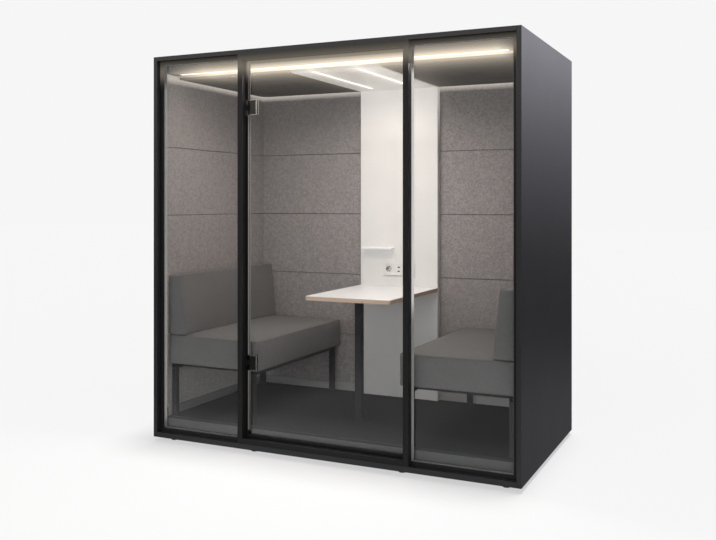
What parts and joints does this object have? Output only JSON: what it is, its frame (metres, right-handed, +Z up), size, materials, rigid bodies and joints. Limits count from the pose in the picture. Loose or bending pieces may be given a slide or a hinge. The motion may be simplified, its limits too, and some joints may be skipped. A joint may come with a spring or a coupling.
{
  "type": "acoustic office pod",
  "caption": "Dark acoustic office pod with a glass front and swing door, felt-lined walls, facing upholstered benches, a small table at a white service column, and ceiling lights.",
  "frame": {"origin": "on the ground under the middle of the pod's plan", "axes": "+X to the right seen from the glass front, +Y from the glass front to the back, +Z up"},
  "size_m": [2.2, 1.2, 2.258],
  "materials": {
    "shell_board": "satin",
    "frame_profile": "satin",
    "black_steel": "satin",
    "zinc_steel": "satin",
    "timber": "matte",
    "carpet_pile": "matte",
    "riser_board": "satin",
    "clear_glass": "polished",
    "seal_rubber": "matte",
    "gasket_rubber": "matte",
    "wall_core": "matte",
    "wall_felt": "matte",
    "skirting_board": "satin",
    "white_board": "satin",
    "white_steel": "satin",
    "white_plastic": "gloss",
    "grey_plastic": "matte",
    "black_plastic": "matte",
    "dark_panel": "matte",
    "light_housing": "satin",
    "lit_diffuser": "matte",
    "plywood": "satin",
    "white_laminate": "satin",
    "dark_board": "matte",
    "seat_fabric": "matte"
  },
  "bodies": {
    "pod": {"left_side_panel": "shell_board", "right_side_panel": "shell_board", "back_panel": "shell_board", "roof_panel": "shell_board", "base_panel": "shell_board", "left_post": "frame_profile", "right_post": "frame_profile", "door_header": "frame_profile", "door_threshold": "frame_profile", "glazing_profiles": "frame_profile", "hinge_brackets": "black_steel", "table_leg": "black_steel", "table_bracket": "black_steel", "bench_frames": "black_steel", "levelling_feet": "black_steel", "corner_angles": "zinc_steel", "floor_joists": "timber", "floor_deck": "timber", "ceiling_battens": "timber", "carpet": "carpet_pile", "floor_riser": "riser_board", "left_glass": "clear_glass", "right_glass": "clear_glass", "door_stop_seal": "seal_rubber", "glazing_gaskets": "gasket_rubber", "wall_cores": "wall_core", "left_wall_felt": "wall_felt", "right_wall_felt": "wall_felt", "skirting": "skirting_board", "column_panel": "white_board", "centre_ceiling_panel": "white_board", "column_shelf": "white_steel", "socket_frame": "white_plastic", "power_socket": "white_plastic", "usb_socket": "white_plastic", "control_plate": "white_plastic", "socket_boxes": "grey_plastic", "led_driver": "grey_plastic", "power_inlet": "black_plastic", "fan_housings": "black_plastic", "bench_glides": "black_plastic", "side_ceiling_panels": "dark_panel", "front_soffit": "dark_panel", "light_channels": "light_housing", "light_diffusers": "lit_diffuser", "cove_lights": "lit_diffuser", "table_board": "plywood", "table_laminate": "white_laminate", "cushion_boards": "dark_board", "left_seat_cushion": "seat_fabric", "right_seat_cushion": "seat_fabric", "left_back_cushion": "seat_fabric", "right_back_cushion": "seat_fabric"},
    "door": {"door_glass": "clear_glass", "door_edge_profile": "frame_profile", "hinge_clamps": "black_steel"},
    "left_fan": {"left_fan_rotor": "black_plastic"},
    "right_fan": {"right_fan_rotor": "black_plastic"},
    "light_button": {"light_button": "white_plastic"},
    "fan_button": {"fan_button": "white_plastic"}
  },
  "joints": [
    {"name": "door_swing", "type": "hinge", "parent": "pod", "child": "door", "pos_m": [-0.463, -0.549, 1.1], "axis": [0, 0, -1], "range_deg": [0, 90]},
    {"name": "left_fan_spin", "type": "hinge", "parent": "pod", "child": "left_fan", "pos_m": [-0.65, 0.05, 2.17], "axis": [0, 0, 1], "continuous": true},
    {"name": "right_fan_spin", "type": "hinge", "parent": "pod", "child": "right_fan", "pos_m": [0.65, 0.05, 2.17], "axis": [0, 0, 1], "continuous": true},
    {"name": "light_button_press", "type": "slide", "parent": "pod", "child": "light_button", "axis": [0, 1, 0], "range_m": [0, 0.002], "stiffness_N_per_m": 400},
    {"name": "fan_button_press", "type": "slide", "parent": "pod", "child": "fan_button", "axis": [0, 1, 0], "range_m": [0, 0.002], "stiffness_N_per_m": 400}
  ]
}
